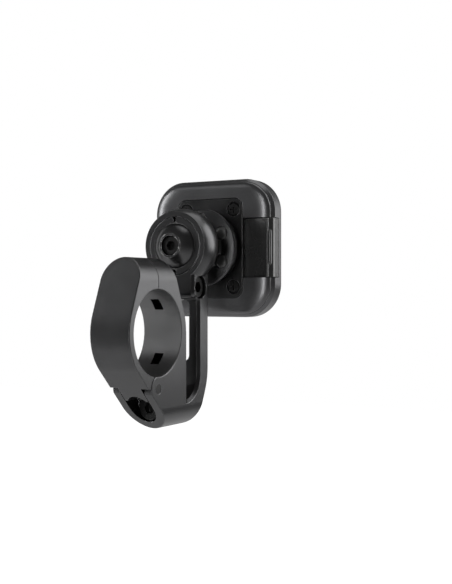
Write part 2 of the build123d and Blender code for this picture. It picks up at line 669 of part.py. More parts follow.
def rear_housing():
    """Crowned rear shell: a soft round edge down to the seam, open for the tabs."""
    solid = crowned_square()
    solid -= square(REAR_HALF - SHELL_WALL, REAR_CORNER - SHELL_WALL, PLATE_BACK_Y + 0.2, SEAM_Y + 1)
    solid -= plate(PLATE_WIDTH + 0.1, PLATE_HEIGHT + 0.1, PLATE_CORNER, 50, PLATE_BACK_Y)
    solid -= y_rod(8.5, 45, 60)
    for x, z in corner_positions(PLATE_SCREW_X, PLATE_SCREW_Z):
        solid -= y_rod(1.3, 50, 60, x, z)
    opening = tab_opening(TAB_GAP, TAB_INNER_X - TAB_STROKE - 0.4, 60)
    return solid - opening - mirrored(opening)


def front_housing():
    """Front shell: dark chamfered rim, straight side wall and the wall under the phone."""
    rim = loft([
        head_plane(SEAM_Y) * RectangleRounded(2 * REAR_HALF, 2 * REAR_HALF, REAR_CORNER),
        head_plane(RIM_Y) * RectangleRounded(2 * FRONT_HALF, 2 * FRONT_HALF, FRONT_CORNER),
    ])
    wall = square(FRONT_HALF, FRONT_CORNER, RIM_Y, FRONT_Y)
    wall = fillet(wall.faces().sort_by(Axis.Y)[-1].outer_wire().edges(), FRONT_ROUND)
    solid = rim + wall
    solid -= square(FRONT_HALF - 2.4, FRONT_CORNER - 2.4, SEAM_Y + 0.65, FRONT_Y - 1.5)
    solid -= square(REAR_HALF + 0.05, REAR_CORNER, SEAM_Y - 0.1, SEAM_Y + 0.65)
    for x, z in corner_positions(PLATE_SCREW_X, PLATE_SCREW_Z):
        post = y_rod(2.6, SEAM_Y + 0.8, FRONT_Y - 1.4, x, z)
        solid += post
        solid -= y_rod(SHELL_SCREW_RADIUS, SEAM_Y, FRONT_Y - 2.5, x, z)
    side = tab_opening(TAB_GAP, FRONT_HALF - 4.2, TAB_END_Y)
    for cut in (side, mirrored(side), *hook_slots()):
        solid -= cut
    for x, z in corner_positions(PLATFORM_SCREW_X, PLATFORM_SCREW_Z):
        solid -= y_rod(PLATFORM_SCREW_RADIUS, 55, 70, x, z)
    return solid


def phone_platform():
    """Raised square boss that the phone's case drops over."""
    solid = square(PLATFORM_HALF, PLATFORM_CORNER, FRONT_Y, PLATFORM_Y)
    solid = chamfer(solid.faces().sort_by(Axis.Y)[-1].outer_wire().edges(), 0.7)
    for x, z in ring_positions(MAGNET_COUNT, MAGNET_PITCH_RADIUS, 22.5):
        solid -= y_rod(MAGNET_RADIUS, FRONT_Y - 1, FRONT_Y + MAGNET_THICKNESS, x, z)
    for slot in hook_slots():
        solid -= slot
    for x, z in corner_positions(PLATFORM_SCREW_X, PLATFORM_SCREW_Z):
        solid -= y_rod(PLATFORM_SCREW_RADIUS, 55, PLATFORM_Y - 0.8, x, z)
    return solid


def platform_screws():
    """Screws from inside the front shell into the platform."""
    screws = []
    for x, z in corner_positions(PLATFORM_SCREW_X, PLATFORM_SCREW_Z):
        screw = y_rod(PLATFORM_SCREW_RADIUS, FRONT_Y - 1.5, PLATFORM_Y - 0.8, x, z)
        screws.append(screw + y_rod(1.7, FRONT_Y - 2.7, FRONT_Y - 1.5, x, z))
    return screws


def magnets():
    return [
        y_rod(MAGNET_RADIUS, FRONT_Y, FRONT_Y + MAGNET_THICKNESS, x, z)
        for x, z in ring_positions(MAGNET_COUNT, MAGNET_PITCH_RADIUS, 22.5)
    ]


def face_pad():
    """Soft grip pad round the platform, which the phone's back rests on."""
    solid = square(FRONT_HALF - 2.6, FRONT_CORNER - 2.6, FRONT_Y, FRONT_Y + PAD_HEIGHT)
    solid = chamfer(solid.faces().sort_by(Axis.Y)[-1].outer_wire().edges(), 0.35)
    return solid - square(PLATFORM_HALF + 4.2, PLATFORM_CORNER + 4, FRONT_Y - 1, FRONT_Y + 2)


def release_tab():
    """The right-hand release tab: a scooped rear face, a raised rib and a side wall."""
    outer_x = FRONT_HALF
    scoop = Spline([(TAB_INNER_X, 54.35), (18.0, 54.25), (22.5, 53.55), (25.9, 52.95)])
    crest = Line((25.9, 52.95), (26.7, 53.1))
    shoulder = Spline([(26.7, 53.1), (27.6, 53.7), (outer_x, 55.2)])
    side = Line((outer_x, 55.2), (outer_x, TAB_END_Y))
    end = Line((outer_x, TAB_END_Y), (outer_x - 1.7, TAB_END_Y))
    inside = Polyline((outer_x - 1.7, TAB_END_Y), (outer_x - 1.7, 56.5), (TAB_INNER_X, 56.5), (TAB_INNER_X, 54.35))
    outline = make_face([scoop, crest, shoulder, side, end, inside])
    solid = Pos(0, 0, SOCKET_Z) * extrude(outline, amount=TAB_HALF_HEIGHT, both=True)
    reach = 2 * (outer_x - TAB_INNER_X)
    solid &= plate(reach, 2 * TAB_HALF_HEIGHT, TAB_CORNER, 50, 60, x=outer_x)
    rib = Pos(27.1, 53.45, SOCKET_Z) * Cylinder(0.75, 14.0)
    solid += fillet(rib.edges(), 0.6)
    for z in (SOCKET_Z - SPRING_Z, SOCKET_Z + SPRING_Z):
        solid -= y_rod(LATCH_SCREW_RADIUS, 55.2, 60, LATCH_SCREW_X, z)
    return solid


def latch():
    """Steel slide fixed inside the right-hand tab, with a hook through the front."""
    slide = box(
        LATCH_INNER_X, FRONT_HALF - 1.8, LATCH_Y, LATCH_Y + LATCH_THICKNESS,
        SOCKET_Z - LATCH_HALF_HEIGHT, SOCKET_Z + LATCH_HALF_HEIGHT,
    )
    low, high = SOCKET_Z - HOOK_HALF_HEIGHT, SOCKET_Z + HOOK_HALF_HEIGHT
    hook = box(17.8, 19.4, LATCH_Y + LATCH_THICKNESS, PLATFORM_Y - 0.2, low, high)
    beak = Plane.XY * polygon(
        (19.4, PLATFORM_Y - 1.3), (20.3, PLATFORM_Y - 1.1), (19.4, PLATFORM_Y - 0.2)
    )
    beak = Pos(0, 0, SOCKET_Z) * extrude(beak, amount=HOOK_HALF_HEIGHT, both=True)
    solid = slide + hook + beak
    for z in (SOCKET_Z - SPRING_Z, SOCKET_Z + SPRING_Z):
        solid -= y_rod(LATCH_SCREW_RADIUS, 50, 60, LATCH_SCREW_X, z)
    return solid


def latch_screws():
    """Screws that hold the latch to the inside of the right-hand tab."""
    screws = []
    for z in (SOCKET_Z - SPRING_Z, SOCKET_Z + SPRING_Z):
        screw = y_rod(LATCH_SCREW_RADIUS, 55.2, LATCH_Y + LATCH_THICKNESS, LATCH_SCREW_X, z)
        head = y_rod(1.8, LATCH_Y + LATCH_THICKNESS, LATCH_Y + LATCH_THICKNESS + 1.0, LATCH_SCREW_X, z)
        screws.append(screw + head)
    return screws


def spring_block():
    """Moulded block in the middle of the head that the return springs push against."""
    solid = box(-3.0, 3.0, 55.7, 61.2, SOCKET_Z - 8, SOCKET_Z + 8)
    for z in (SOCKET_Z - SPRING_Z, SOCKET_Z + SPRING_Z):
        solid -= x_rod(SPRING_RADIUS + 0.1, 2.0, 4.0, LATCH_Y + 1.0, z)
        solid -= x_rod(SPRING_RADIUS + 0.1, -4.0, -2.0, LATCH_Y + 1.0, z)
    return solid


def tab_springs():
    """The pair of return springs behind the right-hand latch."""
    springs = []
    for z in (SOCKET_Z - SPRING_Z, SOCKET_Z + SPRING_Z):
        sleeve = x_rod(SPRING_RADIUS, 2.0, LATCH_INNER_X, LATCH_Y + 1.0, z)
        springs.append(sleeve - x_rod(SPRING_RADIUS - 0.4, 1.0, LATCH_INNER_X + 1, LATCH_Y + 1.0, z))
    return springs


# ---- Write every node -----------------------------------------------------------------
def main():
    os.makedirs("parts", exist_ok=True)
    save("arm_body", arm_body())
    save("clamp_jaw", clamp_jaw())
    save("hinge_pin", hinge_pin())
    save("clamp_screw", clamp_screw())
    save("screw_insert", screw_insert())
    save("collet_left", collet(-1))
    save("collet_right", collet(1))
    save("collet_shoe", collet_shoe())
    save("pinch_cone", pinch_cone())
    save("pinch_nut", pinch_nut())
    save("pinch_screw", pinch_screw())
    save("ball_liner", ball_liner())
    save("ball", ball())
    save("ball_screw", ball_screw())
    save("isolator_dish", isolator_dish())
    save("isolator_plugs", isolator_plugs())
    save("isolator_core", isolator_core())
    save("core_screws", core_screws())
    save("back_plate", back_plate())
    save("back_plate_screws", back_plate_screws())
    save("rear_housing", rear_housing())
    save("front_housing", front_housing())
    save("phone_platform", phone_platform())
    save("platform_screws", platform_screws())
    save("platform_magnets", magnets())
    save("face_pad", face_pad())
    save("spring_block", spring_block())
    for side, place in (("right", lambda solid: solid), ("left", mirrored)):
        save(f"release_tab_{side}", place(release_tab()))
        save(f"latch_{side}", place(latch()))
        save(f"latch_screws_{side}", [place(s) for s in latch_screws()])
        save(f"tab_springs_{side}", [place(s) for s in tab_springs()])


main()
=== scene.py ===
"""A handlebar phone mount: hinged clamp, windowed arm, ball joint, isolator and phone head.

The script follows the mount as it is put together, from the clamp to the phone's side.
"""
import math

import bmesh
import bpy
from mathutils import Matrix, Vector


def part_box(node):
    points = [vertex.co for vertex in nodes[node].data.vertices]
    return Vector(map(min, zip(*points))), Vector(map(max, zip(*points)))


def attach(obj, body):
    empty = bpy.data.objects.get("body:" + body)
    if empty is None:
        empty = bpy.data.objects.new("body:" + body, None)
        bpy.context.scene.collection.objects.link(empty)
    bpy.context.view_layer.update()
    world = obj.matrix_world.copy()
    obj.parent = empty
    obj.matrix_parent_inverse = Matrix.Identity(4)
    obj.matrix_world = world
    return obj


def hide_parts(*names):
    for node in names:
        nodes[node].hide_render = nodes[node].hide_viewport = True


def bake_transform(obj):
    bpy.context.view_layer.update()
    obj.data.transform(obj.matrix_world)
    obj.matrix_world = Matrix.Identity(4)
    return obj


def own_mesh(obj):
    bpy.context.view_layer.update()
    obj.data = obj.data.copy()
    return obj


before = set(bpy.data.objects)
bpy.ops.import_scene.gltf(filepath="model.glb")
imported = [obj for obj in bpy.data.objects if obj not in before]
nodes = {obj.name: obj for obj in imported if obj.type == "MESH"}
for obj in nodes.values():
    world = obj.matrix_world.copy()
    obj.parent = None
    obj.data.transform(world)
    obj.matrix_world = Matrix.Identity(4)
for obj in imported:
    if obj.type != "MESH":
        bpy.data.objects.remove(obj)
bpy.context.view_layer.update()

# ---- Camera -----------------------------------------------------------------------------
# The mount is seen from the handlebar's side and from its right, with the camera level and a
# little above the handlebar's axis.
camera_data = bpy.data.cameras.new("camera")
camera_data.sensor_width = 36.0
camera_data.lens = 63.49
camera_data.clip_start = 0.01
camera = bpy.data.objects.new("camera", camera_data)
camera.location = (0.2124, -0.3171, 0.0150)
camera.rotation_euler = (math.radians(90), 0, math.radians(29))
bpy.context.scene.collection.objects.link(camera)
bpy.context.scene.camera = camera
bpy.context.scene.view_settings.view_transform = "Standard"

# ---- Studio -----------------------------------------------------------------------------
# A plain white room, its pale floor far below. As the camera sees it, a broad light stands
# beyond the mount on the right and one hangs overhead. Two tall narrow ones on the left draw
# bright bands down the curved edges, and a faint one stands above them.
FLOOR_Z = -0.5
FLOOR_REACH = 4
floor_mesh = bpy.data.meshes.new("floor")
floor_corners = [
    (across * FLOOR_REACH, along * FLOOR_REACH, FLOOR_Z)
    for across, along in ((-1, -1), (1, -1), (1, 1), (-1, 1))
]
floor_mesh.from_pydata(floor_corners, [], [(0, 1, 2, 3)])
floor = bpy.data.objects.new("floor", floor_mesh)
bpy.context.scene.collection.objects.link(floor)
floor_paint = bpy.data.materials.new("floor_paint")
floor_paint.use_nodes = True
shader = floor_paint.node_tree.nodes["Principled BSDF"]
shader.inputs["Base Color"].default_value = (0.8, 0.8, 0.8, 1)
shader.inputs["Roughness"].default_value = 0.9
shader.inputs["Emission Color"].default_value = (1, 1, 1, 1)
glow = floor_paint.node_tree.nodes.new("ShaderNodeMapRange")
glow.inputs["To Min"].default_value = 0.2
glow.inputs["To Max"].default_value = 1.0
looked_at = floor_paint.node_tree.nodes.new("ShaderNodeLightPath")
floor_paint.node_tree.links.new(looked_at.outputs["Is Camera Ray"], glow.inputs["Value"])
floor_paint.node_tree.links.new(glow.outputs["Result"], shader.inputs["Emission Strength"])
floor_mesh.materials.append(floor_paint)

world = bpy.data.worlds.new("room")
bpy.context.scene.world = world
world.use_nodes = True
room = world.node_tree
background = room.nodes["Background"]
background.inputs["Color"].default_value = (1, 1, 1, 1)
background.inputs["Strength"].default_value = 0.12
backdrop = room.nodes.new("ShaderNodeBackground")
backdrop.inputs["Color"].default_value = (1, 1, 1, 1)
backdrop.inputs["Strength"].default_value = 1.0
seen = room.nodes.new("ShaderNodeLightPath")
blend = room.nodes.new("ShaderNodeMixShader")
room.links.new(seen.outputs["Is Camera Ray"], blend.inputs["Fac"])
room.links.new(background.outputs["Background"], blend.inputs[1])
room.links.new(backdrop.outputs["Background"], blend.inputs[2])
room.links.new(blend.outputs["Shader"], room.nodes["World Output"].inputs["Surface"])


def softbox(name, place, target, width, height, watts):
    """One large rectangular studio light aimed at a point on the mount."""
    data = bpy.data.lights.new(name, "AREA")
    data.shape = "RECTANGLE"
    data.size, data.size_y = width, height
    data.energy = watts
    lamp = bpy.data.objects.new(name, data)
    lamp.location = place
    lamp.rotation_euler = (Vector(target) - Vector(place)).to_track_quat("-Z", "Y").to_euler()
    bpy.context.scene.collection.objects.link(lamp)


ARM_MIDDLE = (0, 0.02, 0.0)
NECK_MIDDLE = (0, 0.02, 0.02)
softbox("light_back_right", (0.75, 0.75, 0.39), ARM_MIDDLE, width=0.7, height=1.0, watts=12.5)
softbox("light_top", (0.15, 0.25, 0.9), ARM_MIDDLE, width=0.8, height=0.8, watts=5.0)
softbox("light_right_strip", (0.12, -1.15, 0.12), NECK_MIDDLE, width=0.16, height=1.0, watts=8.5)
softbox("light_left_strip", (-0.92, -0.52, 0.12), NECK_MIDDLE, width=0.22, height=1.0, watts=12.0)
softbox("light_left_high", (-0.55, -0.70, 0.85), NECK_MIDDLE, width=0.5, height=0.2, watts=0.7)

# ---- Clamp: body and jaw ----------------------------------------------------------------
# Both halves of the clamp are milled from aluminium bar and anodised black, over the fine
# lines that the cutter leaves. The arm, the neck and the ball's socket ring are one piece with
# the clamp's fixed half.
groups = {}


def new_group(name, inputs, outputs):
    """A shader node group with named float inputs and outputs, and its two end nodes."""
    tree = bpy.data.node_groups.new(name, "ShaderNodeTree")
    for label, value in inputs:
        socket = tree.interface.new_socket(label, in_out="INPUT", socket_type="NodeSocketFloat")
        socket.default_value = value
    for label, kind in outputs:
        tree.interface.new_socket(label, in_out="OUTPUT", socket_type=kind)
    groups[name] = tree
    return tree, tree.nodes.new("NodeGroupInput"), tree.nodes.new("NodeGroupOutput")


def maths(tree, operation, first, second=None, clamp=False):
    """One Math node: its inputs are sockets or numbers."""
    node = tree.nodes.new("ShaderNodeMath")
    node.operation = operation
    node.use_clamp = clamp
    for slot, value in enumerate((first, second)):
        if value is None:
            continue
        if isinstance(value, (int, float)):
            node.inputs[slot].default_value = value
        else:
            tree.links.new(value, node.inputs[slot])
    return node.outputs["Value"]


def noise(tree, vector, scale, detail=2.0):
    """One Noise node: its scale is a socket or a number."""
    node = tree.nodes.new("ShaderNodeTexNoise")
    tree.links.new(vector, node.inputs["Vector"])
    node.inputs["Detail"].default_value = detail
    if isinstance(scale, (int, float)):
        node.inputs["Scale"].default_value = scale
    else:
        tree.links.new(scale, node.inputs["Scale"])
    return node.outputs["Fac"]


# Broken edges: a mask of the sharp edges, where anodising and mould skin are rubbed thin; it also
# lightens them as a painted highlight.
EDGE_GAIN = 9.0
PATCH_SCALE = 420.0
edges, given, result = new_group(
    "rubbed_and_highlit_edges",
    [("Width", 0.0003), ("Patchiness", 0.5)],
    [("Mask", "NodeSocketFloat"), ("Normal", "NodeSocketVector")],
)
rounded = edges.nodes.new("ShaderNodeBevel")
rounded.samples = 6
edges.links.new(given.outputs["Width"], rounded.inputs["Radius"])
facing = edges.nodes.new("ShaderNodeNewGeometry")
agree = edges.nodes.new("ShaderNodeVectorMath")
agree.operation = "DOT_PRODUCT"
edges.links.new(rounded.outputs["Normal"], agree.inputs[0])
edges.links.new(facing.outputs["Normal"], agree.inputs[1])
place = edges.nodes.new("ShaderNodeTexCoord").outputs["Object"]
turn = maths(edges, "SUBTRACT", 1.0, agree.outputs["Value"])
turn = maths(edges, "MULTIPLY", turn, EDGE_GAIN, clamp=True)
patches = noise(edges, place, PATCH_SCALE, 3.0)
patches = maths(edges, "MULTIPLY", patches, given.outputs["Patchiness"])
keep = maths(edges, "SUBTRACT", 1.0, patches)
edges.links.new(maths(edges, "MULTIPLY", turn, keep, clamp=True), result.inputs["Mask"])
edges.links.new(rounded.outputs["Normal"], result.inputs["Normal"])

# Skin: fine pits of a blasted or moulded surface, with slow cloudy changes of gloss.
skin, given, result = new_group(
    "fine_skin",
    [("Grain", 9000.0), ("Cloud", 90.0), ("Roughness", 0.4), ("Spread", 0.1)],
    [("Roughness", "NodeSocketFloat"), ("Height", "NodeSocketFloat"), ("Tone", "NodeSocketFloat")],
)
place = skin.nodes.new("ShaderNodeTexCoord").outputs["Object"]
grain = noise(skin, place, given.outputs["Grain"])
cloud = noise(skin, place, given.outputs["Cloud"], 3.0)
swing = maths(skin, "SUBTRACT", cloud, 0.5)
swing = maths(skin, "MULTIPLY", swing, given.outputs["Spread"])
gloss = maths(skin, "ADD", given.outputs["Roughness"], swing)
fleck = maths(skin, "SUBTRACT", grain, 0.5)
fleck = maths(skin, "MULTIPLY", fleck, given.outputs["Spread"])
skin.links.new(maths(skin, "ADD", gloss, fleck), result.inputs["Roughness"])
skin.links.new(grain, result.inputs["Height"])
skin.links.new(cloud, result.inputs["Tone"])

WORN_GLOSS = -0.12              # how much smoother a rubbed edge is
RELIEF_HEIGHT = 0.0001


def finish_material(
    name, dark, light, edge_colour_and_highlight, roughness, metallic=0.0, grain=9000.0, bump=0.02, spread=0.035,
    width=0.00025, patchiness=0.4, edge_blend_and_highlight=0.6,
):
    """A surface with fine skin, cloudy tone between two colours, and rubbed edges lightened as a
    painted highlight.
    """
    material = bpy.data.materials.new(name)
    material.use_nodes = True
    tree = material.node_tree
    shader = tree.nodes["Principled BSDF"]
    shader.inputs["Metallic"].default_value = metallic
    surface = tree.nodes.new("ShaderNodeGroup")
    surface.node_tree = groups["fine_skin"]
    for label, value in (("Grain", grain), ("Roughness", roughness), ("Spread", spread)):
        surface.inputs[label].default_value = value
    wear_and_highlight_mask = tree.nodes.new("ShaderNodeGroup")
    wear_and_highlight_mask.node_tree = groups["rubbed_and_highlit_edges"]
    wear_and_highlight_mask.inputs["Width"].default_value = width
    wear_and_highlight_mask.inputs["Patchiness"].default_value = patchiness
    tone = tree.nodes.new("ShaderNodeValToRGB")
    tone.color_ramp.elements[0].position = 0.3
    tone.color_ramp.elements[1].position = 0.7
    tone.color_ramp.elements[0].color = (*dark, 1)
    tone.color_ramp.elements[1].color = (*light, 1)
    tree.links.new(surface.outputs["Tone"], tone.inputs["Fac"])
    # The edges blend towards a lighter colour: partly rubbed finish, partly a painted highlight along
    # the rims.
    rub_and_highlight_mix = tree.nodes.new("ShaderNodeMix")
    rub_and_highlight_mix.data_type = "RGBA"
    rub_and_highlight_mix.inputs["B"].default_value = (*edge_colour_and_highlight, 1)
    rub_and_highlight_amount = maths(tree, "MULTIPLY", wear_and_highlight_mask.outputs["Mask"], edge_blend_and_highlight)
    tree.links.new(rub_and_highlight_amount, rub_and_highlight_mix.inputs["Factor"])
    tree.links.new(tone.outputs["Color"], rub_and_highlight_mix.inputs["A"])
    tree.links.new(rub_and_highlight_mix.outputs["Result"], shader.inputs["Base Color"])
    worn = maths(tree, "MULTIPLY", wear_and_highlight_mask.outputs["Mask"], WORN_GLOSS)
    gloss = maths(tree, "ADD", surface.outputs["Roughness"], worn, clamp=True)
    tree.links.new(gloss, shader.inputs["Roughness"])
    relief = tree.nodes.new("ShaderNodeBump")
    relief.inputs["Strength"].default_value = bump
    relief.inputs["Distance"].default_value = RELIEF_HEIGHT
    tree.links.new(surface.outputs["Height"], relief.inputs["Height"])
    tree.links.new(wear_and_highlight_mask.outputs["Normal"], relief.inputs["Normal"])
    tree.links.new(relief.outputs["Normal"], shader.inputs["Normal"])
    return material


def dress(material, *names):
    """Give CAD nodes one material."""
    for name in names:
        mesh = nodes[name].data
        mesh.materials.clear()
        mesh.materials.append(material)


# Its paler edge colour is partly rubbed anodising and partly a painted highlight along the clamp's
# rims.
black_anodised = finish_material(
    "black_anodised", (0.038, 0.038, 0.039), (0.044, 0.044, 0.045), (0.19, 0.19, 0.195),
    roughness=0.3, metallic=0.97, bump=0.05,
)

# Cutter marks: fine lines along the handlebar, and a paler, duller turned finish in the bore.
BORE_TOLERANCE = 0.00012
LINE_STRETCH = 0.02
LINE_HEIGHT = 2.5
BORE_DULLNESS = 0.12
marks, given, result = new_group(
    "cutter_marks",
    [("Bore Radius", 0.016), ("Spacing", 5200.0)],
    [("Bore", "NodeSocketFloat"), ("Lines", "NodeSocketFloat")],
)
place = marks.nodes.new("ShaderNodeTexCoord").outputs["Object"]
parts = marks.nodes.new("ShaderNodeSeparateXYZ")
marks.links.new(place, parts.inputs["Vector"])
depth = maths(marks, "MULTIPLY", parts.outputs["Y"], parts.outputs["Y"])
height = maths(marks, "MULTIPLY", parts.outputs["Z"], parts.outputs["Z"])
reach = maths(marks, "SQRT", maths(marks, "ADD", depth, height))
limit = maths(marks, "ADD", given.outputs["Bore Radius"], BORE_TOLERANCE)
inside = maths(marks, "LESS_THAN", reach, limit)
marks.links.new(inside, result.inputs["Bore"])
stretch = marks.nodes.new("ShaderNodeMapping")
stretch.inputs["Scale"].default_value = (LINE_STRETCH, 1, 1)
marks.links.new(place, stretch.inputs["Vector"])
lines = noise(marks, stretch.outputs["Vector"], given.outputs["Spacing"])
marks.links.new(lines, result.inputs["Lines"])

milled = black_anodised.copy()
milled.name = "milled_anodised"
tree = milled.node_tree
shader = tree.nodes["Principled BSDF"]
cuts = tree.nodes.new("ShaderNodeGroup")
cuts.node_tree = groups["cutter_marks"]
relief = shader.inputs["Normal"].links[0].from_node
grain_height = relief.inputs["Height"].links[0].from_socket
line_height = maths(tree, "MULTIPLY", cuts.outputs["Lines"], LINE_HEIGHT)
tree.links.new(maths(tree, "ADD", line_height, grain_height), relief.inputs["Height"])
tone = shader.inputs["Base Color"].links[0].from_socket
paler = tree.nodes.new("ShaderNodeMix")
paler.data_type = "RGBA"
paler.inputs["B"].default_value = (0.085, 0.085, 0.086, 1)
tree.links.new(tone, paler.inputs["A"])
tree.links.new(cuts.outputs["Bore"], paler.inputs["Factor"])
tree.links.new(paler.outputs["Result"], shader.inputs["Base Color"])
gloss = shader.inputs["Roughness"].links[0].from_socket
duller = maths(tree, "MULTIPLY", cuts.outputs["Bore"], BORE_DULLNESS)
tree.links.new(maths(tree, "ADD", gloss, duller, clamp=True), shader.inputs["Roughness"])
dress(milled, "arm_body", "clamp_jaw")

# ---- Hinge pin, screws and inserts --------------------------------------------------------
# The hinge pin and the clamp and pinch screws are black-oxide steel. The thread insert, the
# shoe and the two cones that lift it are bare steel, hidden in the body.
black_oxide = finish_material(
    "black_oxide", (0.006, 0.006, 0.006), (0.009, 0.009, 0.009), (0.03, 0.03, 0.03),
    roughness=0.32, metallic=0.7, bump=0.02, width=0.00006, patchiness=0.2,
)
dress(black_oxide, "hinge_pin", "clamp_screw", "pinch_screw")
bare_steel = finish_material(
    "bare_steel", (0.22, 0.22, 0.225), (0.29, 0.29, 0.295), (0.5, 0.5, 0.5),
    roughness=0.3, metallic=1.0, bump=0.03,
)
dress(bare_steel, "screw_insert", "collet_shoe", "pinch_cone", "pinch_nut")

# ---- Ball and collet ----------------------------------------------------------------------
# The ball is turned aluminium with a satin black finish. It sits in a thin acetal liner that
# the two halves of the black anodised collet grip, and a steel screw holds it to the dish.
# Its pale edge colour at full strength is a painted highlight round the rim of the screw's recess.
ball_satin = finish_material(
    "ball_satin", (0.045, 0.045, 0.046), (0.055, 0.055, 0.056), (0.45, 0.45, 0.45),
    roughness=0.28, metallic=0.9, bump=0.02, width=0.00018, edge_blend_and_highlight=1.0, patchiness=0.1,
)
dress(ball_satin, "ball")
dress(black_anodised, "collet_left", "collet_right")
dress(black_oxide, "ball_screw")
acetal = finish_material(
    "acetal", (0.03, 0.03, 0.03), (0.04, 0.04, 0.04), (0.06, 0.06, 0.06), roughness=0.5,
)
dress(acetal, "ball_liner")

# ---- Isolator -----------------------------------------------------------------------------
# Six moulded elastomer plugs fill the dish's holes and are bonded to the core behind it. Both
# metal pieces are turned and anodised. One plug is a turned profile, set in a ring of six.
dress(black_anodised, "isolator_dish", "isolator_core")
dress(black_oxide, "core_screws")
elastomer = finish_material(
    "elastomer", (0.010, 0.010, 0.010), (0.015, 0.015, 0.015), (0.05, 0.05, 0.05),
    roughness=0.45, bump=0.06,
)


SHARP_ANGLE = math.radians(35)


def turned_mesh(name, profile, steps):
    """A closed mesh turned about the Y axis, from (y, radius) points that start and end on it."""
    corners, faces, rings = [], [], []
    for y, radius in profile:
        if radius == 0:
            rings.append([len(corners)])
            corners.append((0, y, 0))
            continue
        rings.append(list(range(len(corners), len(corners) + steps)))
        for step in range(steps):
            turn = math.tau * step / steps
            corners.append((radius * math.cos(turn), y, radius * math.sin(turn)))
    for near, far in zip(rings, rings[1:]):
        for step in range(steps):
            after = (step + 1) % steps
            ends = ((near, step), (near, after), (far, after), (far, step))
            loop = [ring[index % len(ring)] for ring, index in ends]
            faces.append(list(dict.fromkeys(loop)))
    mesh = bpy.data.meshes.new(name)
    mesh.from_pydata(corners, [], faces)
    outward = bmesh.new()
    outward.from_mesh(mesh)
    bmesh.ops.recalc_face_normals(outward, faces=outward.faces)
    outward.to_mesh(mesh)
    outward.free()
    for face in mesh.polygons:
        face.use_smooth = True
    mesh.set_sharp_from_angle(angle=SHARP_ANGLE)
    return mesh


def new_tree(name, sizes):
    """A geometry node tree with named inputs: its name and the type of each size."""
    tree = bpy.data.node_groups.new(name, "GeometryNodeTree")
    tree.interface.new_socket("Geometry", in_out="INPUT", socket_type="NodeSocketGeometry")
    for label, kind in sizes:
        tree.interface.new_socket(label, in_out="INPUT", socket_type=kind)
    tree.interface.new_socket("Material", in_out="INPUT", socket_type="NodeSocketMaterial")
    tree.interface.new_socket("Geometry", in_out="OUTPUT", socket_type="NodeSocketGeometry")
    return tree, tree.nodes.new("NodeGroupInput"), tree.nodes.new("NodeGroupOutput")


def end_tree(tree, given, result, geometry):
    """Realize the instances, set the material and send the geometry out."""
    real = tree.nodes.new("GeometryNodeRealizeInstances")
    painted = tree.nodes.new("GeometryNodeSetMaterial")
    tree.links.new(geometry, real.inputs["Geometry"])
    tree.links.new(real.outputs["Geometry"], painted.inputs["Geometry"])
    tree.links.new(given.outputs["Material"], painted.inputs["Material"])
    tree.links.new(painted.outputs["Geometry"], result.inputs["Geometry"])


def grown(name, mesh, tree, values):
    """Run a node tree on a mesh once, and keep the result as a plain object at the origin."""
    seed = bpy.data.objects.new(name + "_seed", mesh)
    bpy.context.scene.collection.objects.link(seed)
    maker = seed.modifiers.new("maker", "NODES")
    maker.node_group = tree
    for item in tree.interface.items_tree:
        if item.in_out == "INPUT" and item.name in values:
            maker[item.identifier] = values[item.name]
    finished = seed.evaluated_get(bpy.context.evaluated_depsgraph_get())
    shape = bpy.data.meshes.new_from_object(finished)
    shape.name = name
    seed.modifiers.clear()
    bpy.data.objects.remove(seed)
    piece = bpy.data.objects.new(name, shape)
    bpy.context.scene.collection.objects.link(piece)
    return piece


HEAD_Z = 0.033
DISH_BACK_Y = 0.0468
PLUG_COUNT = 6
PLUG_PITCH_RADIUS = 0.01115
PLUG_RADIUS = 0.00274
PLUG_NECK_RADIUS = 0.0019
PLUG_WAIST_RADIUS = 0.00165
PLUG_STEPS = 40
plug_low, plug_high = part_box("isolator_plugs")
plug_profile = [
    (plug_low.y - 0.00005, 0), (plug_low.y - 0.00005, 0.0009), (plug_low.y + 0.00002, 0.0017),
    (plug_low.y + 0.0002, 0.0023), (plug_low.y + 0.0005, 0.00262), (plug_low.y + 0.0009, PLUG_RADIUS),
    (0.0463, PLUG_RADIUS), (DISH_BACK_Y, 0.0026), (0.0469, PLUG_NECK_RADIUS),
    (0.0478, PLUG_WAIST_RADIUS), (0.0487, PLUG_NECK_RADIUS),
    (plug_high.y, PLUG_NECK_RADIUS), (plug_high.y, 0),
]
ring_tree, given, result = new_tree(
    "ring_of_plugs",
    [("Count", "NodeSocketInt"), ("Pitch Radius", "NodeSocketFloat"),
     ("First Angle", "NodeSocketFloat"), ("Height", "NodeSocketFloat")],
)
circle = ring_tree.nodes.new("GeometryNodeMeshCircle")
ring_tree.links.new(given.outputs["Count"], circle.inputs["Vertices"])
ring_tree.links.new(given.outputs["Pitch Radius"], circle.inputs["Radius"])
spin = ring_tree.nodes.new("ShaderNodeCombineXYZ")
ring_tree.links.new(given.outputs["First Angle"], spin.inputs["Z"])
turned_ring = ring_tree.nodes.new("GeometryNodeTransform")
ring_tree.links.new(circle.outputs["Mesh"], turned_ring.inputs["Geometry"])
ring_tree.links.new(spin.outputs["Vector"], turned_ring.inputs["Rotation"])
lift = ring_tree.nodes.new("ShaderNodeCombineXYZ")
ring_tree.links.new(given.outputs["Height"], lift.inputs["Z"])
upright_ring = ring_tree.nodes.new("GeometryNodeTransform")
upright_ring.inputs["Rotation"].default_value = (math.radians(90), 0, 0)
ring_tree.links.new(turned_ring.outputs["Geometry"], upright_ring.inputs["Geometry"])
ring_tree.links.new(lift.outputs["Vector"], upright_ring.inputs["Translation"])
copies = ring_tree.nodes.new("GeometryNodeInstanceOnPoints")
ring_tree.links.new(upright_ring.outputs["Geometry"], copies.inputs["Points"])
